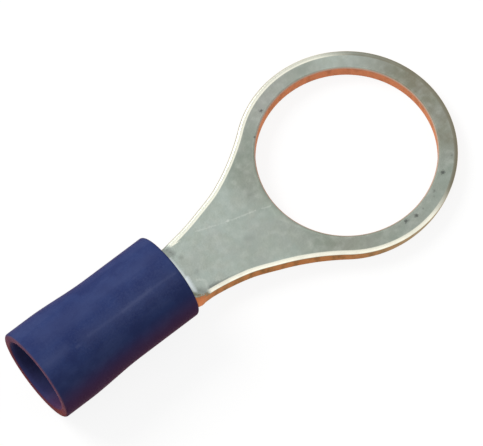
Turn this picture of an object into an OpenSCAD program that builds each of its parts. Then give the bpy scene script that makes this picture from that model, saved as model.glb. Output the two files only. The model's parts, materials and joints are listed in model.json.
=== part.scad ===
// Insulated ring terminal for a 1.5 to 2.5 square millimetre wire on a 10 mm stud.
// The origin is the centre of the stud hole, on the underside of the flat ring.
// +X points to the tip of the ring, the wire comes in from -X, and +Z is up.

/* [Ring] */
// Diameter of the stud hole
hole_d = 10.5; // [8:0.1:11.4]
// Outside diameter of the ring
ring_d = 12.84; // [12:0.02:16]
// Thickness of the sheet that the terminal is stamped from
sheet_t = 0.9; // [0.6:0.05:1.2]

/* [Neck] */
// Width of the neck at its narrowest
neck_w = 3.95; // [3.2:0.05:4.3]
// Radius of the two hollow arcs that run from the ring into the neck
neck_r = 14; // [11:0.5:18]
// From the hole's centre to where the flat sheet starts to curl up
neck_end = 11.9; // [10.5:0.1:12.4]
// Length over which the underside of the flat neck turns round
curl_len = 1.35; // [1:0.05:2]
// Length over which the curling sides rise until they meet on top
mouth_len = 2.4; // [2.1:0.1:3.4]

/* [Barrel] */
// Diameter of the bore that is crimped on the stripped wire
wire_bore_d = 2.2; // [1.9:0.1:2.8]
// Length of the fully round barrel
barrel_len = 4.6; // [3.5:0.1:7]
// Step from the sheet's faces up to the barrel's lowest lines
barrel_lift = 0.05; // [0.02:0.01:0.15]
// Width of the butted seam along the top of the barrel
seam_w = 0.12; // [0.05:0.01:0.4]

/* [Sleeve] */
// Length of the insulating sleeve
sleeve_len = 9.7; // [8.5:0.1:13]
// Wall of the sleeve
sleeve_wall = 0.68; // [0.5:0.02:1]
// Diameter of the entry that takes the insulated wire
entry_d = 4.4; // [4.1:0.1:5.6]
// Length of the straight, wide stretch at the entry
entry_len = 2.35; // [1.5:0.05:3.5]
// Length of the taper between the entry and the grip on the barrel
taper_len = 3; // [1:0.1:4]
// Lead-in chamfer inside both ends of the sleeve
lead_in = 0.3; // [0.1:0.05:0.4]
// Broken edge around the outside of both ends of the sleeve
edge_break = 0.2; // [0.05:0.05:0.25]
// Radial gap between the barrel and the sleeve's grip
grip_gap = 0.02; // [0.01:0.01:0.1]

/* [Hidden] */
$fn = 96;
// How far a cutter reaches past the face that it opens
past = 1;
// Thickness of the slices that the curled stretch is drawn between
slice = 0.02;

hole_r = hole_d / 2;
ring_r = ring_d / 2;
wire_bore_r = wire_bore_d / 2;

// The arcs of the neck touch the ring from outside, and leave the neck neck_w wide.
arc_y = neck_w / 2 + neck_r;
arc_x = -sqrt(pow(ring_r + neck_r, 2) - pow(arc_y, 2));
touch_x = arc_x * ring_r / (ring_r + neck_r);
touch_y = arc_y * ring_r / (ring_r + neck_r);

// The sheet is rolled to a tube, whose bore runs out level with the neck's upper face.
barrel_r = wire_bore_r + sheet_t;
barrel_z = barrel_lift + barrel_r;
barrel_front = -(neck_end + curl_len);
barrel_rear = barrel_front - barrel_len;

// The sleeve's front lead-in starts where the barrel is first fully round.
grip_r = barrel_r + grip_gap;
entry_r = entry_d / 2;
sleeve_front = barrel_front + lead_in;
sleeve_rear = sleeve_front - sleeve_len;

// Lays a shape that is drawn along +Z down, along -X, at the barrel's axis.
module along_wire(front) {
  translate([front, 0, barrel_z]) rotate([0, -90, 0]) children();
}

// The flat ring and the neck that tapers from it.
module sheet_outline() {
  circle(r = ring_r);
  difference() {
    translate([-neck_end, -touch_y]) square([neck_end + touch_x, 2 * touch_y]);
    for (side = [-1, 1]) translate([arc_x, side * arc_y]) circle(r = neck_r);
  }
}

// The stretch where the neck's sides curl up until they meet.
module curl() {
  hull() {
    linear_extrude(sheet_t) intersection() {
      sheet_outline();
      translate([-neck_end, -ring_r]) square([slice, ring_d]);
    }
    along_wire(barrel_front + slice) cylinder(r = barrel_r, h = slice, $fn = 32);
  }
}

// Cuts the mouth of the barrel back along a slope that starts at the end of the flat neck.
module mouth_slope() {
  mouth_top = barrel_z + barrel_r;
  rotate([90, 0, 0]) linear_extrude(2 * (barrel_r + past), center = true) polygon([
    [-neck_end, sheet_t],
    [-neck_end, mouth_top + past],
    [-neck_end - mouth_len, mouth_top + past],
    [-neck_end - mouth_len, mouth_top]
  ]);
}

// One stamping: ring, neck and rolled barrel.
module ring_and_barrel() {
  color([0.67, 0.70, 0.65]) difference() {
    union() {
      linear_extrude(sheet_t) sheet_outline();
      curl();
      along_wire(barrel_front) cylinder(r = barrel_r, h = barrel_len);
    }
    translate([0, 0, -past]) cylinder(r = hole_r, h = sheet_t + 2 * past);
    along_wire(-neck_end + slice) cylinder(r = wire_bore_r, h = curl_len + barrel_len + past);
    mouth_slope();
    translate([barrel_rear - past, -seam_w / 2, barrel_z])
      cube([barrel_len + curl_len + past, seam_w, barrel_r + past]);
  }
}

// Half section of the sleeve: x is the radius, y runs from the front face to the entry.
module sleeve_section() {
  grip_out = grip_r + sleeve_wall;
  entry_out = entry_r + sleeve_wall;
  taper_end = sleeve_len - entry_len;
  taper_start = taper_end - taper_len;
  polygon([
    [grip_r + lead_in, 0],
    [grip_out - edge_break, 0],
    [grip_out, edge_break],
    [grip_out, taper_start],
    [entry_out, taper_end],
    [entry_out, sleeve_len - edge_break],
    [entry_out - edge_break, sleeve_len],
    [entry_r + lead_in, sleeve_len],
    [entry_r, sleeve_len - lead_in],
    [entry_r, taper_end],
    [grip_r, taper_start],
    [grip_r, lead_in]
  ]);
}

// One moulding: vinyl sleeve, pushed on the barrel and open at both ends.
module insulating_sleeve() {
  color([0.18, 0.23, 0.42])
    along_wire(sleeve_front) rotate_extrude() sleeve_section();
}

ring_and_barrel();
insulating_sleeve();
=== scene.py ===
import json
from math import atan2, cos, pi, radians, sin, sqrt

import bpy
import numpy as np
from bpy.props import FloatProperty, FloatVectorProperty, PointerProperty
from mathutils import Matrix, Vector


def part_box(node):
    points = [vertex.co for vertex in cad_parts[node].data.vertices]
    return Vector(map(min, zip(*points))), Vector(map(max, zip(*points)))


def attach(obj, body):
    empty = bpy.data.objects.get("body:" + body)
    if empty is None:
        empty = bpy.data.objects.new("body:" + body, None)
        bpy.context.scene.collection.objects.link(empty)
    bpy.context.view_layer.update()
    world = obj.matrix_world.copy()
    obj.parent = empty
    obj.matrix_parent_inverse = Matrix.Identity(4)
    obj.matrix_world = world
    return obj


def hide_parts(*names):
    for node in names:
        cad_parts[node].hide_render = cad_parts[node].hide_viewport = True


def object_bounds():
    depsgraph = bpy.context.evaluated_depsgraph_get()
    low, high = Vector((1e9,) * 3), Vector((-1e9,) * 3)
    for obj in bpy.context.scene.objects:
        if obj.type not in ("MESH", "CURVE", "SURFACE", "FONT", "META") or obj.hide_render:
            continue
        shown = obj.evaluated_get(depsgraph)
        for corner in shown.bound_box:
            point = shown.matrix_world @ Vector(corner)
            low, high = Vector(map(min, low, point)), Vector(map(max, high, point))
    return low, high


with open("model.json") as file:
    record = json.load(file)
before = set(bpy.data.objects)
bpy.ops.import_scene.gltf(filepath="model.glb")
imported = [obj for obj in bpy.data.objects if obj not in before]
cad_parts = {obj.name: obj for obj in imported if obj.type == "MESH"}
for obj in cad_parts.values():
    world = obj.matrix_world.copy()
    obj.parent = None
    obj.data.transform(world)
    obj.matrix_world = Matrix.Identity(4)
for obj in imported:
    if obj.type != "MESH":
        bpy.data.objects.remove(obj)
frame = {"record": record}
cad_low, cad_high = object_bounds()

bl_info = {
    "name": "Insulated ring terminal",
    "version": (1, 0, 0),
    "blender": (4, 5, 0),
    "location": "3D View > Sidebar > Ring terminal",
    "description": "Tinned copper ring terminal with a blue vinyl sleeve",
    "category": "Object",
}

MM = 0.001

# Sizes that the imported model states. +X points to the ring's tip, and the wire comes in from -X.
MOUNTS = {mount["name"]: mount for mount in frame["record"]["mounts"]}
HOLE_R = MOUNTS["stud_hole"]["dims"]["r_mm"] * MM
SHEET_T = MOUNTS["stud_hole"]["dims"]["length_mm"] * MM
WIRE_BORE_R = MOUNTS["wire_barrel"]["dims"]["r_mm"] * MM
ENTRY_R = MOUNTS["insulation_entry"]["dims"]["r_mm"] * MM
AXIS_Z = MOUNTS["wire_barrel"]["pos_m"][2]
METAL_LOW, METAL_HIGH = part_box("ring_and_barrel")
SLEEVE_LOW, SLEEVE_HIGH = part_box("insulating_sleeve")
BARREL_R = WIRE_BORE_R + SHEET_T
BARREL_REAR = METAL_LOW.x
ENTRY_OUT_R = AXIS_Z - SLEEVE_LOW.z

# Steps of the computed surfaces.
WELD = 0.0001 * MM
ARC_COLUMNS = 90
RING_COLUMNS = 260
END_COLUMNS = 41
FACE_STEPS = 14
ROLL_STEPS = 7
WALL_STEPS = 6
BARREL_STATIONS = 70
SLEEVE_COLUMNS = 180
# Curvature, in turns of a radian a metre, that stands in for a flat sheet.
FLAT_CURVE = 1e-6
# Shares of the rounded edge: where it is fully painted bright, burnish and painted highlight together,
# and where the tin ends on the right-hand side (-Y), on the left-hand side (+Y) and round the stud hole.
RUB_HIGHLIGHT_FULL = 0.3
TIN_WIPE_RIGHT = 0.72
TIN_WIPE_LEFT = 0.52
TIN_WIPE_HOLE = 0.1
# How brightly each side's edge is painted, burnish and painted highlight together, and the flat sheet
# beside the left-hand one.
RUB_HIGHLIGHT_RIGHT = 1.0
RUB_HIGHLIGHT_LEFT = 0.55
RUB_HIGHLIGHT_LEFT_FLAT = 0.85
# How much further down the edge the tin was dragged where the edge was sheared most aslant.
DRAGGED = 0.12

# Direction from the hole's centre in which the ring's edge was sheared most aslant.
SHEARED_ASLANT = np.array([cos(radians(-78)), sin(radians(-78))])
# Where along x the neck's sideways set comes and goes.
NECK_SET_FROM = -7.3 * MM
NECK_SET_LENGTH = 1.8 * MM
CURL_SET_FROM = -11.2 * MM
CURL_SET_LENGTH = 1.6 * MM

# Where the stage stands. Each lamp has a name, the setting with its power, its side in metres, and
# its azimuth and elevation in degrees.
LAMPS = (
    ("key", "key", 0.2, 200, 43),
    ("low_fill", "fill", 0.16, -10, 14),
)
LAMP_TINT = (1.0, 0.99, 0.97)
LAMP_DISTANCE = 0.4
WHITE = (1.0, 1.0, 1.0)
SENSOR_WIDTH = 36.0
CLIP_START = 0.01
FLOOR_HALF = 1.5
FLOOR_GAP = 0.01 * MM

# Across the sleeve, to the right and down: the side on which a warm reflection is painted into its vinyl's
# colour.
WARM_REFLECTION_SIDE = (0.0, -0.9, -0.436)
ORIGIN = (0.0, 0.0, 0.0)

# Dark specks on the ring: angle from +X in degrees, distance from the hole's centre and radius in mm,
# and strength.
SPECKS = (
    (113.4, 5.55, 0.16, 0.9),
    (131.0, 5.36, 0.11, 0.7),
    (-42.0, 6.04, 0.11, 0.4),
    (-53.1, 5.67, 0.18, 0.9),
    (-66.0, 5.61, 0.15, 0.5),
    (-69.0, 5.75, 0.11, 0.3),
    (-79.0, 5.66, 0.10, 0.5),
    (-84.9, 5.66, 0.17, 0.9),
    (-91.7, 5.55, 0.18, 0.9),
    (-97.0, 5.62, 0.13, 0.3),
)
# Pale hairline scratches on the neck: from x, y to x, y, and half width, in mm, and strength.
SCRATCHES = (
    (-9.86, 1.60, -8.70, 1.15, 0.06, 0.40),
    (-8.70, 1.15, -7.63, 0.79, 0.05, 0.20),
    (-8.06, 0.96, -8.00, 0.94, 0.10, 0.70),
    (-7.63, 0.79, -6.39, 0.44, 0.06, 0.40),
    (-6.04, 0.31, -5.55, 0.11, 0.06, 0.35),
    (-11.68, -0.75, -11.34, -1.07, 0.12, 0.35),
    (-11.34, -1.07, -11.46, -1.49, 0.12, 0.25),
)
# Dull smudges beside the curl and along the neck's right-hand edge, given in the same way; those beside the
# curl, where the neck goes into the sleeve, are partly painted shade.
SMUDGES_AND_SHADE = (
    (-11.33, -0.36, -11.40, -0.42, 0.22, 0.30),
    (-11.36, -1.63, -10.85, -1.75, 0.26, 0.75),
    (-10.85, -1.75, -10.30, -1.86, 0.20, 0.60),
    (-10.30, -1.86, -9.30, -2.10, 0.16, 0.35),
    (-11.93, -1.43, -11.69, -1.86, 0.34, 0.50),
    (-11.86, 1.86, -11.76, 1.36, 0.32, 0.60),
    (-11.56, 0.92, -11.50, 0.84, 0.20, 0.30),
    (-6.15, 1.45, -6.00, 1.35, 0.22, 0.20),
    (-7.90, -0.60, -7.60, -0.75, 0.30, 0.15),
)
# Painted highlights where the tin curls up into the sleeve, given in the same way.
CURL_HIGHLIGHTS = (
    (-12.05, 1.20, -12.09, -0.30, 0.14, 0.6),
    (-12.09, -0.35, -12.24, -1.25, 0.24, 1.0),
)
# Where the tin is worn off the corner as it goes into the sleeve, given in the same way.
BARED = (
    (-11.90, -2.20, -12.70, -1.95, 0.60, 1.0),
)
# Broad clouds in the tin: x, y and radius in mm, strength, and which of the tin's colours.
CLOUDS = (
    (3.8, 4.4, 2.8, 0.85, "tin"),
    (-1.6, 5.6, 3.6, 0.75, "tin_grey"),
    (-5.2, 2.3, 2.2, 0.85, "tin_dark"),
    (-4.1, 3.9, 1.6, 0.35, "tin_dark"),
    (-4.2, -4.2, 3.2, 0.35, "tin_dark"),
    (6.3, 0.8, 5.4, 0.95, "brown_and_shade"),
    (2.9, 5.6, 1.9, 0.28, "tin_pale"),
    (1.2, -5.8, 2.2, 0.35, "tin"),
    (-3.4, -4.9, 3.2, 0.42, "brown_and_shade"),
    (1.4, -5.9, 2.4, 0.12, "brown_and_shade"),
    (5.4, -2.9, 2.4, 0.70, "brown_and_shade"),
    (-8.2, -1.8, 1.9, 0.35, "tin_dark"),
)
# Pale rubs and painted highlights on the sleeve: from x to x in mm, from angle to angle round the wire's
# axis in degrees (90 is the top), half width in mm, and strength.
RUBS_AND_HIGHLIGHTS = (
    (-13.3, -14.9, 110.2, 108.7, 0.26, 0.72),
    (-14.9, -17.0, 108.7, 109.3, 0.30, 1.0),
    (-17.0, -19.4, 109.3, 108.0, 0.30, 0.68),
    (-13.6, -19.6, 109.5, 108.5, 0.90, 0.42),
    (-13.8, -21.4, 74.0, 73.0, 0.90, 0.26),
    (-20.15, -20.3, 110.5, 110.3, 0.14, 0.60),
    (-20.9, -22.2, 104.0, 107.0, 0.55, 0.35),
    (-15.2, -15.3, 85.0, 85.0, 0.15, 0.40),
    (-18.0, -20.5, 84.0, 82.0, 0.60, 0.22),
)


# ---------------------------------------------------------------- settings

def length(name, text, millimetres):
    """A length setting, stored in metres."""
    return FloatProperty(
        name=name, description=text, default=millimetres * MM, unit="LENGTH", precision=5
    )


def colour(name, text, rgb):
    """A colour setting, in linear light."""
    return FloatVectorProperty(
        name=name, description=text, default=rgb, subtype="COLOR", size=3, min=0, max=1
    )


def angle(name, text, degrees):
    """An angle setting."""
    return FloatProperty(name=name, description=text, default=radians(degrees), subtype="ANGLE")


def number(name, text, value, unit="NONE"):
    """A plain or a power setting."""
    return FloatProperty(name=name, description=text, default=value, unit=unit)


class TerminalSheet(bpy.types.PropertyGroup):
    ring_r: length("Ring radius", "Outside radius of the flat ring", METAL_HIGH.x / MM)
    neck_w: length("Neck width", "Width of the neck at its narrowest", 3.8)
    neck_r: length("Neck arcs", "Radius of the two hollow arcs of the neck", 14.5)
    neck_end: length("Neck end", "From the hole's centre to where the sheet starts to curl", 11.89)
    curl_len: length("Curl length", "Length over which the underside turns round", 1.33)
    mouth_start: length("Mouth start", "Length of the curl before its sides grow", 0.49)
    mouth_len: length("Mouth length", "Length over which the sides grow until they meet", 1.88)
    seam_w: length("Seam width", "Gap of the butted seam along the barrel", 0.12)
    neck_set: length("Neck set", "How far the neck stands to the left of the ring's axis", 0.09)
    shear: length("Shear", "Most that the ring's sheared edge leans inwards", 0.15)
    roll_w: length("Roll width", "Width of the edge that the die has rounded", 0.18)
    roll_h: length("Roll height", "Height of the edge that the die has rounded", 0.18)
    # The bleeds and the fade set how far the painted highlight and burnish reach onto the flat sheet.
    bleed_right: length("Right bleed", "Width of flat sheet rubbed bright along the -Y edge", 0.01)
    bleed_left: length("Left bleed", "Width of flat sheet rubbed bright along the +Y edge", 0.12)
    fade: length("Fade", "Width over which the rubbed flat sheet fades into dull tin", 0.05)
    hole_roll: length("Hole roll", "Width of the rounded edge around the stud hole", 0.12)
    burr: length("Lower edges", "Radius of the lower edges", 0.02)
    tin: colour("Tin", "Dull tin plate", (0.374, 0.430, 0.394))
    tin_grey: colour("Grey tin", "Clouds in the tin plate that are less green", (0.350, 0.352, 0.332))
    # Darker tin: patches over the plate, over the whole ring and in some of the clouds.
    tin_dark: colour("Dark tin", "Stained patches of the tin plate", (0.215, 0.243, 0.200))
    tin_pale: colour("Pale tin", "Scratches and drawing lines in the tin plate", (0.58, 0.61, 0.56))
    # Painted highlight as well as burnish: the colour of the rounded edges where they catch the light.
    burnish_and_highlight: colour("Burnished tin", "Rounded edges, rubbed bright", (0.96, 0.94, 0.80))
    # Painted highlight on the tin where it curls up into the sleeve.
    curl_highlight: colour("Curl shine", "Tin stretched bright where it curls up", (0.66, 0.72, 0.74))
    # Dark brown: clouds towards the ring's tip, and painted shade, a painted dark reflection, on the tip's
    # rounded edge.
    brown_and_shade: colour("Tarnish", "Brown tarnish towards the ring's tip", (0.195, 0.180, 0.130))
    edge_brown: colour("Edge brown", "Line between the tin and the outer sheared edge", (0.26, 0.19, 0.11))
    copper: colour("Copper", "Outer sheared edges", (0.41, 0.148, 0.053))
    # Brighter copper of the outer sheared edge where it curls up.
    copper_bright: colour("Fresh copper", "Outer sheared edge where it curls up", (0.62, 0.20, 0.085))
    copper_dark: colour("Dark copper", "Tarnished streaks of the outer sheared edges", (0.20, 0.080, 0.026))
    # Paler lip round the stud hole: bare copper, partly a painted highlight on its rounded edge.
    lip_and_highlight: colour("Lip", "Line between the tin and the wall of the stud hole", (0.52, 0.36, 0.28))
    hole_copper: colour("Hole copper", "Wall of the stud hole", (0.63, 0.255, 0.130))
    hole_dark: colour("Dark hole copper", "Tarnished streaks of the stud hole's wall", (0.49, 0.190, 0.095))
    # Dark specks and smudges on the metal; beside the curl the smudges are partly painted shade.
    grime_and_shade: colour("Grime", "Specks and stains on the metal", (0.045, 0.045, 0.045))


class TerminalSleeve(bpy.types.PropertyGroup):
    front_out_r: length("Front radius", "Outside radius over the barrel", 2.70)
    taper_start: length("Taper start", "From the entry to where the taper starts", 1.7)
    taper_end: length("Taper end", "From the entry to where the taper ends", 5.5)
    rim_round: length("Rim rounding", "Rounding of the rim's outer edge at the entry", 0.14)
    front_round: length("Front rounding", "Rounding of the outer edge at the front", 0.16)
    lead_in: length("Lead-in", "Rounding inside both ends", 0.28)
    grip_gap: length("Grip gap", "Gap between the barrel and the sleeve", 0.02)
    vinyl: colour("Vinyl", "Blue of the sleeve", (0.0365, 0.0575, 0.172))
    # Pale streaks and rubs of the vinyl, also used for a painted highlight along the sleeve.
    vinyl_pale_and_highlight: colour("Pale vinyl", "Lengthwise streaks of the sleeve", (0.082, 0.103, 0.225))
    vinyl_dark: colour("Dark vinyl", "Dull patches of the sleeve", (0.024, 0.034, 0.12))
    # Painted warm reflection: warm light from below along the sleeve's right-hand side, painted into its
    # colour.
    vinyl_warm_reflection: colour("Ruddy vinyl", "Tinge along the sleeve's right-hand side", (0.125, 0.036, 0.070))
    rim_depth: length("Rim depth", "How far from the entry the rim's colour fades", 0.06)
    # Brown of the cut rim low down, greying towards its top.
    rim_low: colour("Lower rim", "Brown stain on the lower part of the cut rim", (0.215, 0.044, 0.033))
    rim_high: colour("Upper rim", "Greyed upper part of the cut rim", (0.172, 0.096, 0.156))


class TerminalStage(bpy.types.PropertyGroup):
    azimuth: angle("Azimuth", "Camera's place round the terminal: 0 looks along +Y", -36.61)
    elevation: angle("Elevation", "Camera's height above the ring's plane", 66.784)
    roll: angle("Roll", "Camera's turn about its own line of sight", -2.577)
    aim_x: length("Aim X", "Where the camera's line of sight meets the ring's underside", -7.267)
    aim_y: length("Aim Y", "Where the camera's line of sight meets the ring's underside", 0.650)
    distance: length("Distance", "From that point to the camera", 286.88)
    lens: number("Lens", "Focal length on a 36 mm sensor, in millimetres", 372.67)
    daylight: number("Daylight", "Strength of the even white surroundings", 0.48)
    key: number("Key", "Power of the soft key lamp", 1.05, "POWER")
    fill: number("Fill", "Power of the low fill lamp", 0.03, "POWER")
    floor: colour("Floor", "Part of the floor's white that shadows can dim", (0.17, 0.17, 0.17))
    floor_glow: number("Floor glow", "Part of the floor's white that no shadow dims", 0.87)
    floor_bounce: colour("Floor bounce", "Light that the floor sends back up", (0.19, 0.19, 0.19))


# ---------------------------------------------------------------- surfaces

def ease(t):
    """Smooth step from 0 to 1: 3t^2 - 2t^3."""
    t = np.clip(t, 0.0, 1.0)
    return t * t * (3.0 - 2.0 * t)


def quarter(steps):
    """Angles from 0 to a quarter turn, both ends included."""
    return np.linspace(0.0, pi / 2, steps)


def grid_quads(rows, columns, close_rows=False, close_columns=False):
    """Quads of a grid whose vertex (row, column) has the index row * columns + column."""
    row = np.arange(rows if close_rows else rows - 1)
    column = np.arange(columns if close_columns else columns - 1)
    r, c = np.meshgrid(row, column, indexing="ij")
    r_next, c_next = (r + 1) % rows, (c + 1) % columns
    quads = np.stack(
        [r * columns + c, r_next * columns + c, r_next * columns + c_next, r * columns + c_next], -1
    )
    return quads


def make_mesh(name, points, faces, masks):
    """Welds equal points, drops unused ones, and makes an object of the rest.

    faces is a list of index tuples, and masks a dict of one value for each point, kept as attributes.
    Faces of more than four corners are cut ends, and are shaded flat.
    """
    keys = np.round(points / WELD).astype(np.int64)
    _, first, welded = np.unique(keys, axis=0, return_index=True, return_inverse=True)
    welded = welded.reshape(-1)
    sizes = np.array([len(face) for face in faces])
    corners = welded[np.concatenate([np.asarray(face) for face in faces])]
    used, corners = np.unique(corners, return_inverse=True)
    kept = first[used]
    loops = np.split(corners.reshape(-1), np.cumsum(sizes)[:-1])
    mesh = bpy.data.meshes.new(name)
    mesh.from_pydata(points[kept].tolist(), [], [loop.tolist() for loop in loops])
    for mask, values in masks.items():
        layer = mesh.attributes.new(mask, "FLOAT", "POINT")
        layer.data.foreach_set("value", values[kept].astype(np.float32))
    mesh.polygons.foreach_set("use_smooth", sizes <= 4)
    if mesh.validate():
        raise RuntimeError(f"{name}: the mesh has bad faces")
    mesh.update()
    obj = bpy.data.objects.new(name, mesh)
    bpy.context.scene.collection.objects.link(obj)
    return obj


def sheet_columns(size):
    """Outline of the flat sheet, anticlockwise from the neck's lower corner to its upper one.

    The lower arc, the ring and the upper arc follow one another, each by its own angle. The arcs
    touch the ring from outside. Gives the points, the outward normals and the corner's half width.
    """
    arc_y = size.neck_w / 2 + size.neck_r
    reach = size.ring_r + size.neck_r
    arc_x = -sqrt(reach**2 - arc_y**2)
    corner_y = arc_y - sqrt(size.neck_r**2 - (size.neck_end + arc_x) ** 2)
    corner_turn = atan2(arc_y - corner_y, -size.neck_end - arc_x)
    touch_turn = atan2(arc_y, -arc_x)
    turn = np.linspace(corner_turn, touch_turn, ARC_COLUMNS)
    away = np.stack([np.cos(turn), np.sin(turn)], -1)
    lower = np.array([arc_x, -arc_y]) + size.neck_r * away
    lower_normal = -away
    lower_normal[0] = (0.0, -1.0)
    start = pi - touch_turn
    turn = np.linspace(-start, start, RING_COLUMNS)[1:-1]
    ring_normal = np.stack([np.cos(turn), np.sin(turn)], -1)
    mirror = np.array([1.0, -1.0])
    points = np.concatenate([lower, size.ring_r * ring_normal, lower[::-1] * mirror])
    normals = np.concatenate([lower_normal, ring_normal, lower_normal[::-1] * mirror])
    return points, normals, corner_y


def edge_profile(size):
    """Side of the sheet, from the end of its top face round to its underside.

    A quarter ellipse rounded by the die, a straight wall and a small quarter circle. Gives the
    inset from the outline, the height, and the share of the rounded part passed, which is 1 below it.
    """
    turn = quarter(ROLL_STEPS)
    roll = np.stack([size.roll_w * (1 - np.sin(turn)), SHEET_T - size.roll_h * (1 - np.cos(turn))])
    wall_z = np.linspace(SHEET_T - size.roll_h, size.burr, WALL_STEPS)[1:-1]
    wall = np.stack([np.zeros_like(wall_z), wall_z])
    burr = np.stack([size.burr * (1 - np.cos(turn)), size.burr * (1 - np.sin(turn))])
    inset, height = np.concatenate([roll, wall, burr], axis=1)
    share = np.ones_like(height)
    share[:ROLL_STEPS] = turn / (pi / 2)
    return inset, height, share


def edge_masks(share, side, dragged=0.0):
    """Masks of the edge: sheared, where the tin has ended, and rolled, where it is painted bright as burnish
    and painted highlight.

    side is 1 on the edge that faces +Y and -1 on the one that faces -Y. The tin ends at its own
    share of the rounding on each, dragged further down by the given share, and the second is
    painted brighter.
    """
    left = ease((side + 1) / 2)
    wipe = TIN_WIPE_RIGHT + (TIN_WIPE_LEFT - TIN_WIPE_RIGHT) * left
    rub_highlight = RUB_HIGHLIGHT_RIGHT + (RUB_HIGHLIGHT_LEFT - RUB_HIGHLIGHT_RIGHT) * left
    sheared = np.clip((share - dragged - wipe) / (1 - wipe), 0, 1)
    rolled = rub_highlight * (0.75 + 0.25 * ease(share / RUB_HIGHLIGHT_FULL)) * (share < 1)
    return sheared, rolled


def flat_sheet(size):
    """Ring and neck: the section of the sheet carried round the stud hole.

    Column j is the ray from the hole's centre to outline point j, and rows run round the section:
    hole edge, top face, outer edge, underside and hole wall. The last row before the outer edge
    keeps the bleed's distance from it, and the row before that is the fade's width further in. The
    rays to the neck's end have no outer edge there, because the curl carries on from them.
    """
    outline, normal, corner_y = sheet_columns(size)
    inset, height, share = edge_profile(size)
    across = np.linspace(1, -1, END_COLUMNS)[1:-1]
    end = np.full((len(across), 2), -size.neck_end)
    top_end, low_end = end.copy(), end.copy()
    top_end[:, 1] = across * (corner_y - size.roll_w)
    low_end[:, 1] = across * (corner_y - size.burr)
    outward = outline / np.linalg.norm(outline, axis=1, keepdims=True)
    aslant = np.clip(outward @ SHEARED_ASLANT, 0, None) ** 4
    lean = size.shear * aslant
    top_rim = np.concatenate([outline - normal * size.roll_w, top_end])
    low_rim = np.concatenate([outline - normal * (size.burr + lean[:, None]), low_end])
    columns, ends = len(top_rim), len(across)
    ray = top_rim / np.linalg.norm(top_rim, axis=1, keepdims=True)
    square_on = np.ones((columns, 1))
    square_on[:len(outline)] = np.sum(normal * ray[:len(outline)], axis=1, keepdims=True)
    left = ease((1 + np.concatenate([normal[:, 1:], np.zeros((ends, 1))])) / 2)
    bleed = size.bleed_right + (size.bleed_left - size.bleed_right) * left
    shoulder = top_rim - ray * bleed / square_on
    faded = shoulder - ray * size.fade / square_on

    def ring(radius, z):
        return np.column_stack([ray * radius, np.full(columns, z)])

    def flat(inner, outer, z):
        steps = np.linspace(0, 1, FACE_STEPS)[1:-1]
        return [np.column_stack([inner + (outer - inner) * k, np.full(columns, z)]) for k in steps]

    turn = quarter(ROLL_STEPS)
    rows = [ring(HOLE_R + size.hole_roll * (1 - cos(a)), SHEET_T - size.hole_roll * (1 - sin(a)))
            for a in turn]
    tin_face = [(0.0, 0.0, 0.0)] * (FACE_STEPS - 2)
    bare = np.clip((1 - TIN_WIPE_HOLE - turn / (pi / 2)) / (1 - TIN_WIPE_HOLE), 0, 1)
    masks = [(bare_here, 0.0, 1.0) for bare_here in bare] + tin_face + [(0.0, 0.0, 0.0)] * 2
    rows += flat(ray * (HOLE_R + size.hole_roll), faded, SHEET_T)
    rows += [np.column_stack([line, np.full(columns, SHEET_T)]) for line in (faded, shoulder)]
    outer_from = len(rows)
    whole = np.concatenate([outline, top_end])
    inwards = -np.concatenate([normal, np.zeros_like(top_end)])
    lean = np.concatenate([lean, np.zeros(ends)])[:, None]
    for k, (depth, z) in enumerate(zip(inset, height)):
        place = whole + inwards * (depth + lean * (1 - z / SHEET_T))
        if k == 0:
            place = top_rim
        if k == len(inset) - 1:
            place = low_rim
        rows.append(np.column_stack([place, np.full(columns, z)]))
    masks += [(0.0, 0.0, 0.0)] * len(inset) + tin_face
    outer_to = len(rows) - 1
    rows += flat(low_rim, ray * (HOLE_R + size.burr), 0.0)
    rows += [ring(HOLE_R + size.burr * (1 - sin(a)), size.burr * (1 - cos(a))) for a in turn]
    masks += [(a / (pi / 2), 0.0, 1.0) for a in turn]
    wall_z = np.linspace(size.burr, SHEET_T - size.hole_roll, WALL_STEPS)[1:-1]
    rows += [ring(HOLE_R, z) for z in wall_z]
    masks += [(1.0, 0.0, 1.0)] * len(wall_z)

    points = np.stack(rows)
    quads = grid_quads(len(rows), columns, close_rows=True, close_columns=True)
    open_rows = slice(outer_from, outer_to)
    keep = np.ones(quads.shape[:2], bool)
    keep[open_rows, columns - ends - 1:] = False
    masks = np.repeat(np.array(masks)[:, None], columns, axis=1)
    sheared, rolled = edge_masks(share[:, None], normal[None, :, 1], DRAGGED * aslant)
    edge = slice(outer_from, outer_to + 1)
    masks[edge, :len(outline), 0] = sheared
    masks[edge, :len(outline), 1] = rolled
    # The flat sheet beside the edge takes the painted highlight and burnish too, more on the left-hand side.
    flat_rub_highlight = rolled[0] + (RUB_HIGHLIGHT_LEFT_FLAT - rolled[0]) * left[:len(outline), 0]
    masks[outer_from - 1, :len(outline), 1] = flat_rub_highlight
    return points.reshape(-1, 3), quads[keep], masks.reshape(-1, 3), corner_y


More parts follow.
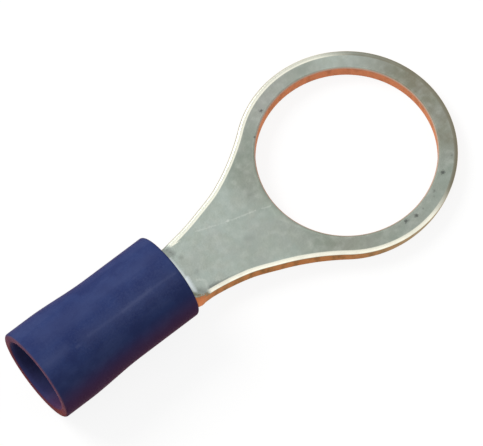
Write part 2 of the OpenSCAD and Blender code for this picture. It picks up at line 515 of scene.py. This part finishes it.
def rolled_barrel(size, corner_y):
    """Curl and barrel: the section of the strip carried from the neck's end to the barrel's rear.

    At arc length w from the middle and height h in the sheet, with the curvature c of the middle
    layer, a point lies at y = sin(c w)/c - (h - t/2) sin(c w) and
    z = rise + t/2 + (1 - cos(c w))/c + (h - t/2) cos(c w). c and the half width grow along -X.
    """
    inset, height, passed = edge_profile(size)
    middle_r = WIRE_BORE_R + SHEET_T / 2
    full_width = pi * middle_r - size.seam_w / 2
    across = np.linspace(1, -1, END_COLUMNS)[1:-1]
    ends = np.ones_like(across)
    top = np.stack([across, -size.roll_w * across, SHEET_T * ends, 0 * ends, 0 * ends])
    side = np.stack([-np.ones_like(inset), inset, height, *edge_masks(passed, -1)])
    under = np.stack([-across, size.burr * across, 0 * ends, 0 * ends, 0 * ends])
    other = np.stack([np.ones_like(inset), -inset, height, *edge_masks(passed, 1)])[:, ::-1]
    share, shift, level, *masks = np.concatenate([top, side, under, other], axis=1)

    curl = ease(np.linspace(0, 1, BARREL_STATIONS)) * (size.mouth_start + size.mouth_len)
    stations = np.concatenate([curl, [-BARREL_REAR - size.neck_end - size.roll_w / 2]])
    stations = np.concatenate([stations, [-BARREL_REAR - size.neck_end]])[:, None]
    bend = ease(stations / size.curl_len)
    grow = ease((stations - size.mouth_start) / size.mouth_len)
    curve = np.maximum(bend / middle_r, FLAT_CURVE)
    width = corner_y + (full_width - corner_y) * grow
    w = share * width + shift
    h = np.repeat(level[None, :], len(stations), axis=0) - SHEET_T / 2
    h[-1] *= 1 - size.roll_w / SHEET_T
    rise = (AXIS_Z - BARREL_R) * bend
    turn = curve * w
    y = np.sin(turn) / curve - h * np.sin(turn)
    z = rise + SHEET_T / 2 + (1 - np.cos(turn)) / curve + h * np.cos(turn)
    x = np.repeat(-size.neck_end - stations, len(share), axis=1)
    points = np.stack([x, y, z], -1)
    quads = grid_quads(len(stations), len(share), close_columns=True)
    rear = (len(stations) - 1) * len(share) + np.arange(len(share))
    masks = np.repeat(np.stack([*masks, 0 * level], -1)[None], len(stations), axis=0)
    masks[-1] = (1.0, 0.0, 0.0)
    return points.reshape(-1, 3), quads.reshape(-1, 4), masks.reshape(-1, 3), rear[::-1]


def set_over(size, points):
    """Moves the neck sideways: y grows by neck_set times a hump along x, 0 at the ring and barrel."""
    x = points[:, 0]
    hump = ease((NECK_SET_FROM - x) / NECK_SET_LENGTH) * (1 - ease((CURL_SET_FROM - x) / CURL_SET_LENGTH))
    points[:, 1] += size.neck_set * hump
    return points


def skin(size, distance, wide, narrow):
    """Radius of one skin of the sleeve at a distance from the entry: an eased step along the taper."""
    return wide + (narrow - wide) * ease((distance - size.taper_start) / (size.taper_end - size.taper_start))


def sleeve_profile(size):
    """Half section of the sleeve as a closed loop of (distance from the entry, radius).

    Both skins keep their radius at the ends and ease from one to the other along the taper; the
    outer corners and the lead-ins are quarter circles.
    """
    long = SLEEVE_HIGH.x - SLEEVE_LOW.x
    grip_r = BARREL_R + size.grip_gap
    turn = quarter(9)

    def stretch(from_d, to_d, wide, narrow):
        d = np.linspace(from_d, to_d, 60)
        return np.stack([d, skin(size, d, wide, narrow)])

    def corner(d, r, round_d, round_r, turned):
        return np.stack([d + round_d * (1 - np.sin(turned)), r + round_r * (1 - np.cos(turned))])

    outer = stretch(size.rim_round, long - size.front_round, ENTRY_OUT_R, size.front_out_r)
    front = corner(long, size.front_out_r, -size.front_round, -size.front_round, turn)
    front_in = corner(long, grip_r, -size.lead_in, size.lead_in, turn[::-1])
    inner = stretch(long - size.lead_in, size.lead_in, ENTRY_R, grip_r)
    rear_in = corner(0.0, ENTRY_R, size.lead_in, size.lead_in, turn)
    rear = corner(0.0, ENTRY_OUT_R, size.rim_round, -size.rim_round, turn[::-1])
    parts = (outer, front[:, 1:], front_in, inner[:, 1:], rear_in[:, 1:], rear[:, :-1])
    return np.concatenate(parts, axis=1)


def revolve(profile, columns):
    """Carries a loop of (distance, radius) round the wire's axis: y = r cos a, z = axis + r sin a.

    The loop runs along the outside first, so each quad is turned round to face away from the vinyl.
    """
    distance, radius = profile
    angle = np.arange(columns) * (2 * pi / columns)
    x = np.repeat((SLEEVE_LOW.x + distance)[:, None], columns, axis=1)
    y = radius[:, None] * np.cos(angle)
    z = AXIS_Z + radius[:, None] * np.sin(angle)
    quads = grid_quads(len(distance), columns, close_rows=True, close_columns=True)
    return np.stack([x, y, z], -1).reshape(-1, 3), quads.reshape(-1, 4)[:, ::-1]


# ---------------------------------------------------------------- node groups

def new_group(name, inputs):
    """An empty shader node group that gives a Mask, and the sockets of its two ends.

    inputs holds each input's default: a number, or three for a vector.
    """
    group = bpy.data.node_groups.new(name, "ShaderNodeTree")
    for title, default in inputs.items():
        kind = "NodeSocketFloat" if isinstance(default, float) else "NodeSocketVector"
        made = group.interface.new_socket(name=title, in_out="INPUT", socket_type=kind)
        made.default_value = default
    group.interface.new_socket(name="Mask", in_out="OUTPUT", socket_type="NodeSocketFloat")
    start, end = (group.nodes.new(f"NodeGroup{way}") for way in ("Input", "Output"))
    return group, start.outputs, end.inputs


def feed(tree, target, value):
    """Links a socket to target, or writes a number, a vector or a colour on it."""
    if isinstance(value, bpy.types.NodeSocket):
        tree.links.new(value, target)
    elif isinstance(value, (int, float)):
        target.default_value = value
    else:
        target.default_value = (*value, 1.0) if target.type == "RGBA" else tuple(value)


def add_node(tree, kind, inputs, out=0, **settings):
    """Adds a shader node and gives one of its outputs.

    inputs maps the name or place of an input to what feeds it; settings are the node's own.
    """
    node = tree.nodes.new("ShaderNode" + kind)
    for name, value in settings.items():
        setattr(node, name, value)
    for place, value in inputs.items():
        feed(tree, node.inputs[place], value)
    return node.outputs[out]


def ramp(tree, value, low, high, out_low=0.0, out_high=1.0, ends="SMOOTHSTEP"):
    """Map Range, with smooth ends unless told otherwise."""
    limits = {"From Min": low, "From Max": high, "To Min": out_low, "To Max": out_high}
    return add_node(tree, "MapRange", {"Value": value, **limits}, "Result", interpolation_type=ends)


def patches_group():
    """Soft-edged patches: noise, cut between Low and High."""
    group, start, end = new_group(
        "Finish patches",
        {"Vector": ORIGIN, "Scale": 1.0, "Detail": 3.0, "Low": 0.4, "High": 0.6},
    )
    noise = add_node(group, "TexNoise", {name: start[name] for name in ("Vector", "Scale", "Detail")})
    feed(group, end["Mask"], ramp(group, noise, start["Low"], start["High"]))
    return group


def streaks_group():
    """Fine lines: noise on coordinates that are turned and stretched, cut between Low and High."""
    group, start, end = new_group(
        "Finish streaks",
        {"Vector": ORIGIN, "Turn": ORIGIN, "Stretch": (1.0, 1.0, 1.0), "Low": 0.5, "High": 0.6},
    )
    turned = add_node(group, "Mapping", {"Vector": start["Vector"], "Rotation": start["Turn"]})
    stretched = add_node(group, "Mapping", {"Vector": turned, "Scale": start["Stretch"]})
    noise = add_node(group, "TexNoise", {"Vector": stretched, "Scale": 1.0, "Detail": 4.0})
    feed(group, end["Mask"], ramp(group, noise, start["Low"], start["High"]))
    return group


def mark_group():
    """A thin mark from one point to another: 1 on the line, 0 at Width from it.

    The nearest place on the line is Start + t (Stop - Start), with t the clamped projection of the
    point. A mark whose ends nearly meet is a round speck. Noise frays its edge, as much as Fray says.
    """
    group, start, end = new_group(
        "Finish mark",
        {"Vector": ORIGIN, "Start": ORIGIN, "Stop": (1.0, 0.0, 0.0), "Width": 0.1, "Fray": 1.0},
    )

    def vector(operation, inputs, out="Vector"):
        return add_node(group, "VectorMath", inputs, out, operation=operation)

    offset = vector("SUBTRACT", {0: start["Vector"], 1: start["Start"]})
    span = vector("SUBTRACT", {0: start["Stop"], 1: start["Start"]})
    passed = vector("DOT_PRODUCT", {0: offset, 1: span}, "Value")
    whole = vector("DOT_PRODUCT", {0: span, 1: span}, "Value")
    share = add_node(group, "Math", {0: passed, 1: whole}, operation="DIVIDE", use_clamp=True)
    nearest = vector("SCALE", {0: span, "Scale": share})
    away = vector("LENGTH", {0: vector("SUBTRACT", {0: offset, 1: nearest})}, "Value")
    noise = add_node(group, "TexNoise", {"Vector": start["Vector"], "Scale": 9.0})
    uneven = ramp(group, noise, 0.3, 0.7, 0.6, 1.5)
    uneven = add_node(group, "Mix", {0: start["Fray"], 2: 1.0, 3: uneven})
    away = add_node(group, "Math", {0: away, 1: uneven}, operation="MULTIPLY")
    feed(group, end["Mask"], ramp(group, away, 0.0, start["Width"], 1.0, 0.0, "LINEAR"))
    return group


def shared_group(make):
    """The node group that make builds, built once."""
    names = {patches_group: "Finish patches", streaks_group: "Finish streaks",
             mark_group: "Finish mark"}
    return bpy.data.node_groups.get(names[make]) or make()


# ---------------------------------------------------------------- materials

class Finish:
    """A material under construction: one Principled BSDF and short calls for what feeds it."""

    def __init__(self, name):
        self.material = bpy.data.materials.new(name)
        self.material.use_nodes = True
        self.tree = self.material.node_tree
        self.shader = self.tree.nodes["Principled BSDF"]
        place = add_node(self.tree, "TexCoord", {}, "Object")
        self.place = add_node(self.tree, "Mapping", {"Vector": place, "Scale": (1 / MM, 1 / MM, 1 / MM)})

    def group(self, make, **values):
        """Places a shared group on the piece's own millimetre coordinates and gives its mask."""
        inputs = {title.capitalize(): value for title, value in values.items()}
        inputs["Vector"] = self.place
        return add_node(self.tree, "Group", inputs, node_tree=shared_group(make))

    def attribute(self, name):
        """A mask kept on the mesh."""
        return add_node(self.tree, "Attribute", {}, "Fac", attribute_name=name)

    def mix(self, factor, first, second, kind="RGBA"):
        """First where factor is 0, second where it is 1; each is a socket, a number or a colour."""
        low, high, out = {"RGBA": (6, 7, 2), "FLOAT": (2, 3, 0)}[kind]
        return add_node(self.tree, "Mix", {0: factor, low: first, high: second}, out, data_type=kind)

    def math(self, operation, first, second):
        """One Math node, kept between 0 and 1."""
        return add_node(self.tree, "Math", {0: first, 1: second}, operation=operation, use_clamp=True)

    def over(self, below, above, mask, share=1.0):
        """Lays a colour over another: mask times share is how much of it shows."""
        return self.mix(self.math("MULTIPLY", mask, share), below, above)

    def put(self, title, value):
        """Feeds one of the shader's own sockets."""
        feed(self.tree, self.shader.inputs[title], value)

    def along(self, direction):
        """Distance along a direction, in millimetres."""
        inputs = {0: self.place, 1: direction}
        return add_node(self.tree, "VectorMath", inputs, "Value", operation="DOT_PRODUCT")

    def near(self, point, radius):
        """Soft round mask: 1 at a point, 0 at a radius from it, in millimetres."""
        inputs = {0: self.place, 1: point}
        distance = add_node(self.tree, "VectorMath", inputs, "Value", operation="DISTANCE")
        return ramp(self.tree, distance, 0.0, radius, 1.0, 0.0)

    def bump(self, height, depth):
        """Normal from a height mask; depth is in metres."""
        inputs = {"Height": height, "Strength": 1.0, "Distance": depth}
        self.put("Normal", add_node(self.tree, "Bump", inputs))


def marks(finish, lines, fray=1.0):
    """Union of marks; each line is (start, stop, half width, strength), in millimetres."""
    mask = 0.0
    for start, stop, width, strength in lines:
        line = finish.group(mark_group, start=start, stop=stop, width=width, fray=fray)
        mask = finish.math("MAXIMUM", mask, finish.math("MULTIPLY", line, strength))
    return mask


def on_sheet(lines):
    """Marks on the sheet's top face, from (x, y, x, y, half width, strength)."""
    z = SHEET_T / MM
    return [((x, y, z), (to_x, to_y, z), width, strength)
            for x, y, to_x, to_y, width, strength in lines]


def round_specks(spots):
    """Marks so short that they are round, from (angle, distance, radius, strength)."""
    lines = []
    for angle, distance, radius, strength in spots:
        x = distance * cos(radians(angle))
        y = distance * sin(radians(angle))
        lines.append((x, y, x + radius / 4, y, radius, strength))
    return on_sheet(lines)


def on_sleeve(size, lines):
    """Marks on the sleeve's outer skin, from (x, x, angle, angle, half width, strength)."""

    def place(x, angle):
        radius = float(skin(size, x * MM - SLEEVE_LOW.x, ENTRY_OUT_R, size.front_out_r)) / MM
        return x, radius * cos(radians(angle)), AXIS_Z / MM + radius * sin(radians(angle))

    return [(place(x, angle), place(to_x, to_angle), width, strength)
            for x, to_x, angle, to_angle, width, strength in lines]


def tinned_copper(size):
    """Dull, clouded tin plate, with rolled edges painted bright as burnish and painted highlight, a painted
    highlight where it curls up, and bare copper where it was sheared.
    """
    finish = Finish("tinned_copper")
    cloud = finish.group(patches_group, scale=0.35, detail=5.0, low=0.35, high=0.68)
    mottle = finish.group(patches_group, scale=1.6, detail=6.0, low=0.36, high=0.66)
    hue = finish.group(patches_group, scale=0.8, detail=4.0, low=0.40, high=0.62)
    swirl = finish.group(patches_group, scale=2.0, detail=3.0, low=0.40, high=0.78)
    grain = finish.group(patches_group, scale=9.0, detail=4.0, low=0.3, high=0.7)
    drawn = finish.group(
        streaks_group, turn=(0.0, 0.0, radians(-6)), stretch=(0.5, 7.0, 7.0), low=0.45, high=0.72
    )
    tin = finish.over(size.tin, size.tin_dark, cloud, 0.22)

    # The ring is darker than the neck, and broad clouds lie over it.
    on_ring = ramp(finish.tree, finish.along((1.0, 0.0, 0.0)), -7.5, -4.5)
    tin = finish.over(tin, size.tin_dark, on_ring, 0.62)
    for x, y, radius, strength, tone in CLOUDS:
        near = finish.near((x, y, SHEET_T / MM), radius)
        tin = finish.over(tin, getattr(size, tone), near, strength)
    tin = finish.over(tin, size.tin_grey, hue, 0.30)
    tin = finish.over(tin, size.tin_dark, mottle, 0.36)
    tin = finish.over(tin, size.tin_pale, swirl, 0.20)
    tin = finish.over(tin, size.tin_pale, drawn, 0.03)
    tin = finish.over(tin, size.tin_dark, grain, 0.09)

    # A highlight is painted on the tin where it curls up, with painted shade, smudges and scratches beside
    # that.
    curled = ramp(finish.tree, finish.along((-1.0, 0.0, 0.0)), 12.35, 12.95)
    tin = finish.over(tin, size.curl_highlight, curled, 0.8)
    tin = finish.mix(marks(finish, on_sheet(CURL_HIGHLIGHTS), 0.15), tin, size.curl_highlight)
    smudged_and_shaded = marks(finish, on_sheet(SMUDGES_AND_SHADE))
    tin = finish.over(tin, size.grime_and_shade, smudged_and_shaded, finish.mix(grain, 0.6, 1.0, "FLOAT"))
    scratched = marks(finish, on_sheet(SCRATCHES))
    tin = finish.mix(scratched, tin, size.tin_pale)
    spotted = ramp(finish.tree, marks(finish, round_specks(SPECKS)), 0.0, 0.8, 0.0, 0.72)
    tin = finish.mix(spotted, tin, size.grime_and_shade)

    # The rounded edge is painted bright along both sides, partly burnish and partly painted highlight; round
    # the ring's tip it is painted dark instead, a painted dark reflection.
    rolled = finish.attribute("rolled")
    tip = ramp(finish.tree, finish.along((1.0, -0.1, 0.0)), 1.5, 4.0)
    clear_of_curl = ramp(finish.tree, finish.along((1.0, 0.0, 0.0)), -11.75, -11.4)
    tin = finish.over(tin, size.brown_and_shade, rolled, tip)
    rubbed_and_lit = finish.math("MULTIPLY", finish.math("SUBTRACT", clear_of_curl, tip), rolled)
    worn = finish.mix(mottle, 1.0, 0.85, "FLOAT")
    tin = finish.over(tin, size.burnish_and_highlight, rubbed_and_lit, worn)

    # The cut lays the copper bare, past a dull line on the outer edge and a paler lip round the hole that is
    # partly a painted highlight; the hole's wall is lighter than the outer edge.
    bared = ramp(finish.tree, marks(finish, on_sheet(BARED), 0.4), 0.1, 0.6)
    sheared = finish.math("MAXIMUM", finish.attribute("sheared"), bared)
    bored = finish.attribute("bored")
    torn = finish.group(
        streaks_group, turn=ORIGIN, stretch=(2.5, 2.5, 1.2), low=0.4, high=0.75
    )
    outer = finish.mix(torn, size.copper, size.copper_dark)
    # The outer copper is brighter where the edge curls up into the sleeve.
    outer = finish.mix(finish.near((-12.4, -2.0, 0.5), 1.3), outer, size.copper_bright)
    copper = finish.mix(bored, outer, finish.mix(torn, size.hole_copper, size.hole_dark))
    line = finish.mix(bored, size.edge_brown, size.lip_and_highlight)
    colour_out = finish.mix(ramp(finish.tree, sheared, 0.0, 0.5), tin, line)
    colour_out = finish.mix(ramp(finish.tree, sheared, 0.5, 1.0), colour_out, copper)
    finish.put("Base Color", colour_out)
    finish.put("Metallic", 1.0)
    finish.put("Specular Tint", (0.95, 0.82, 0.62))
    rough = finish.mix(bored, finish.mix(mottle, 0.30, 0.40, "FLOAT"), 0.75, "FLOAT")
    finish.put("Roughness", rough)
    relief = finish.math("ADD", finish.math("MULTIPLY", mottle, 0.5), finish.math("MULTIPLY", grain, 0.3))
    relief = finish.math("SUBTRACT", relief, finish.math("MULTIPLY", scratched, 0.5))
    finish.bump(relief, 0.006 * MM)
    return finish.material


def blue_vinyl(size):
    """Satin blue vinyl with faint lengthwise streaks, rubs and painted highlights, a painted warm reflection
    along its right-hand side, and a brownish cut rim at the entry.
    """
    finish = Finish("blue_vinyl")
    streaks = finish.group(
        streaks_group, turn=ORIGIN, stretch=(0.25, 1.2, 1.2), low=0.38, high=0.70
    )
    blotch = finish.group(patches_group, scale=0.9, detail=5.0, low=0.35, high=0.68)
    fine = finish.group(patches_group, scale=7.0, detail=4.0, low=0.3, high=0.7)
    scuffs = finish.group(
        streaks_group, turn=(0.0, 0.0, radians(18)), stretch=(0.6, 9.0, 9.0), low=0.62, high=0.78
    )
    blue = finish.over(size.vinyl, size.vinyl_pale_and_highlight, streaks, 0.27)
    blue = finish.over(blue, size.vinyl_dark, blotch, 0.55)
    blue = finish.over(blue, size.vinyl_pale_and_highlight, scuffs, 0.12)
    blue = finish.over(blue, size.vinyl_dark, fine, 0.15)
    # Pale rubs, partly a painted highlight along the upper side of the sleeve.
    blue = finish.over(blue, size.vinyl_pale_and_highlight, marks(finish, on_sleeve(size, RUBS_AND_HIGHLIGHTS)), 0.9)
    # A warm reflection from below is painted into the blue along the right-hand side.
    side = finish.along(WARM_REFLECTION_SIDE)
    middle = WARM_REFLECTION_SIDE[2] * AXIS_Z / MM
    warm_reflection = ramp(finish.tree, side, middle + 1.0, middle + 2.7, 0.0, 0.70)
    blue = finish.mix(warm_reflection, blue, size.vinyl_warm_reflection)
    # The inner skin takes a little of the same painted warm reflection.
    blue = finish.over(blue, size.vinyl_warm_reflection, finish.attribute("inner"), 0.12)
    # The cut rim is brown low down and greyer higher up.
    height = ramp(finish.tree, finish.along((0.0, 0.0, 1.0)), 0.5, 4.0)
    rim_tone = finish.mix(height, size.rim_low, size.rim_high)
    blue = finish.over(blue, rim_tone, finish.attribute("rim"), finish.mix(blotch, 0.95, 0.7, "FLOAT"))
    finish.put("Base Color", blue)
    finish.put("Roughness", finish.mix(streaks, 0.42, 0.54, "FLOAT"))
    finish.put("Specular IOR Level", 0.004)
    finish.put("Sheen Weight", 0.30)
    finish.put("Sheen Roughness", 0.3)
    finish.put("Sheen Tint", (0.60, 0.10, 0.10))
    relief = finish.math("ADD", finish.math("MULTIPLY", fine, 0.35), finish.math("MULTIPLY", blotch, 0.6))
    finish.bump(relief, 0.012 * MM)
    return finish.material


def lit_background(tree, seen, lighting):
    """Mixes lighting, for diffuse rays, with seen, for camera, glossy and transmission rays."""
    path = tree.nodes.new("ShaderNodeLightPath").outputs
    either = path["Is Camera Ray"]
    for title in ("Is Glossy Ray", "Is Transmission Ray"):
        either = add_node(tree, "Math", {0: either, 1: path[title]}, operation="MAXIMUM")
    return add_node(tree, "MixShader", {0: either, 1: lighting, 2: seen})


def floor_finish(size):
    """Pale floor: white to the camera, with a soft shadow, and dimmer as a source of light."""
    material = bpy.data.materials.new("pale_floor")
    material.use_nodes = True
    tree = material.node_tree
    tree.nodes.clear()
    lit = add_node(tree, "BsdfDiffuse", {"Color": size.floor})
    glow = add_node(tree, "Emission", {"Strength": size.floor_glow})
    seen = add_node(tree, "AddShader", {0: lit, 1: glow})
    lighting = add_node(tree, "BsdfDiffuse", {"Color": size.floor_bounce})
    out = tree.nodes.new("ShaderNodeOutputMaterial")
    feed(tree, out.inputs["Surface"], lit_background(tree, seen, lighting))
    return material


# ---------------------------------------------------------------- operators

def own(piece, material, node):
    """Gives a piece its material, body and slot, and hides the CAD node that it stands for."""
    piece.data.materials.append(material)
    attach(piece, "root")
    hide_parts(node)


class OBJECT_OT_ring_and_barrel(bpy.types.Operator):
    """Stamped sheet: ring, neck, curl and rolled barrel"""

    bl_idname = "terminal.ring_and_barrel"
    bl_label = "Ring and barrel"

    def execute(self, context):
        size = context.scene.terminal_sheet
        sheet, sheet_quads, sheet_masks, corner_y = flat_sheet(size)
        barrel, barrel_quads, barrel_masks, rear = rolled_barrel(size, corner_y)
        after = len(sheet)
        points = set_over(size, np.concatenate([sheet, barrel]))
        faces = sheet_quads.tolist() + (barrel_quads + after).tolist() + [(rear + after).tolist()]
        sheared, rolled, bored = np.concatenate([sheet_masks, barrel_masks]).T
        masks = {"sheared": sheared, "rolled": rolled, "bored": bored}
        piece = make_mesh("ring_and_barrel_stamping", points, faces, masks)
        own(piece, tinned_copper(size), "ring_and_barrel")
        return {"FINISHED"}


class OBJECT_OT_insulating_sleeve(bpy.types.Operator):
    """Vinyl sleeve: one profile turned round the wire's axis"""

    bl_idname = "terminal.insulating_sleeve"
    bl_label = "Insulating sleeve"

    def execute(self, context):
        size = context.scene.terminal_sleeve
        profile = sleeve_profile(size)
        points, quads = revolve(profile, SLEEVE_COLUMNS)
        rim = 1 - ease(profile[0] / size.rim_depth)
        inner = profile[1] < ENTRY_R + size.lead_in
        masks = {"rim": np.repeat(rim, SLEEVE_COLUMNS), "inner": np.repeat(inner, SLEEVE_COLUMNS)}
        piece = make_mesh("insulating_sleeve_moulding", points, quads.tolist(), masks)
        own(piece, blue_vinyl(size), "insulating_sleeve")
        return {"FINISHED"}


def add_lamp(name, energy, size, azimuth, elevation):
    """Soft square lamp that looks at the terminal; angles are in degrees, as the camera's are."""
    data = bpy.data.lights.new(name, "AREA")
    data.energy = energy
    data.size = size
    data.color = LAMP_TINT
    lamp = bpy.data.objects.new(name, data)
    centre = (cad_low + cad_high) / 2
    away = direction(radians(azimuth), radians(elevation))
    lamp.matrix_world = looking(centre + away * LAMP_DISTANCE, away, 0.0)
    bpy.context.scene.collection.objects.link(lamp)


def direction(azimuth, elevation):
    """Unit vector from the terminal to a viewer: azimuth 0 looks along +Y."""
    return Vector((sin(azimuth) * cos(elevation), -cos(azimuth) * cos(elevation), sin(elevation)))


def looking(place, away, roll):
    """Matrix of a camera or lamp at a place, looking against away, turned by roll about it."""
    turn = (-away).to_track_quat("-Z", "Y").to_matrix().to_4x4()
    return Matrix.Translation(place) @ turn @ Matrix.Rotation(roll, 4, "Z")


def resting_floor(sleeve):
    """Floor that touches the ring's tip and the sleeve, because the terminal lies so."""
    distance, radius = sleeve_profile(sleeve)
    drop = METAL_LOW.z - (AXIS_Z - radius)
    slope = float(np.max(drop / (METAL_HIGH.x - SLEEVE_LOW.x - distance)))
    x = np.array([-1.0, 1.0, 1.0, -1.0]) * FLOOR_HALF
    y = np.array([-1.0, -1.0, 1.0, 1.0]) * FLOOR_HALF
    z = METAL_LOW.z + slope * (x - METAL_HIGH.x) - FLOOR_GAP
    mesh = bpy.data.meshes.new("floor")
    mesh.from_pydata(np.column_stack([x, y, z]).tolist(), [], [(0, 1, 2, 3)])
    floor = bpy.data.objects.new("floor", mesh)
    bpy.context.scene.collection.objects.link(floor)
    return floor


class OBJECT_OT_stage(bpy.types.Operator):
    """Floor, surroundings, lamps and camera"""

    bl_idname = "terminal.stage"
    bl_label = "Stage"

    def execute(self, context):
        size = context.scene.terminal_stage
        floor = resting_floor(context.scene.terminal_sleeve)
        floor.data.materials.append(floor_finish(size))

        world = bpy.data.worlds.new("surroundings")
        world.use_nodes = True
        tree = world.node_tree
        tree.nodes.clear()
        seen = add_node(tree, "Background", {"Color": WHITE})
        lighting = add_node(tree, "Background", {"Color": WHITE, "Strength": size.daylight})
        out = tree.nodes.new("ShaderNodeOutputWorld")
        feed(tree, out.inputs["Surface"], lit_background(tree, seen, lighting))
        context.scene.world = world

        for name, power, *place in LAMPS:
            add_lamp(name, getattr(size, power), *place)

        data = bpy.data.cameras.new("camera")
        data.lens = size.lens
        data.sensor_width = SENSOR_WIDTH
        data.clip_start = CLIP_START
        camera = bpy.data.objects.new("camera", data)
        away = direction(size.azimuth, size.elevation)
        aim = Vector((size.aim_x, size.aim_y, 0.0))
        camera.matrix_world = looking(aim + away * size.distance, away, size.roll)
        context.scene.collection.objects.link(camera)
        context.scene.camera = camera
        context.scene.view_settings.view_transform = "Standard"
        return {"FINISHED"}


class VIEW3D_PT_ring_terminal(bpy.types.Panel):
    """Lists the settings and the operators"""

    bl_label = "Ring terminal"
    bl_space_type = "VIEW_3D"
    bl_region_type = "UI"
    bl_category = "Ring terminal"

    def draw(self, context):
        for settings, group, operator in STEPS:
            box = self.layout.box()
            for name in group.__annotations__:
                box.prop(getattr(context.scene, settings), name)
            box.operator(operator.bl_idname)


# Each group of settings with its name and the operator that reads it, in the order in which they run.
STEPS = (
    ("terminal_stage", TerminalStage, OBJECT_OT_stage),
    ("terminal_sheet", TerminalSheet, OBJECT_OT_ring_and_barrel),
    ("terminal_sleeve", TerminalSleeve, OBJECT_OT_insulating_sleeve),
)
CLASSES = (
    *(group for _, group, _ in STEPS),
    *(operator for _, _, operator in STEPS),
    VIEW3D_PT_ring_terminal,
)


def register():
    for cls in CLASSES:
        bpy.utils.register_class(cls)
    for name, group, _ in STEPS:
        setattr(bpy.types.Scene, name, PointerProperty(type=group))


def unregister():
    for name, _, _ in STEPS:
        delattr(bpy.types.Scene, name)
    for cls in reversed(CLASSES):
        bpy.utils.unregister_class(cls)


def main():
    register()
    bpy.ops.terminal.stage()
    bpy.ops.terminal.ring_and_barrel()
    bpy.ops.terminal.insulating_sleeve()


if __name__ == "__main__":
    main()
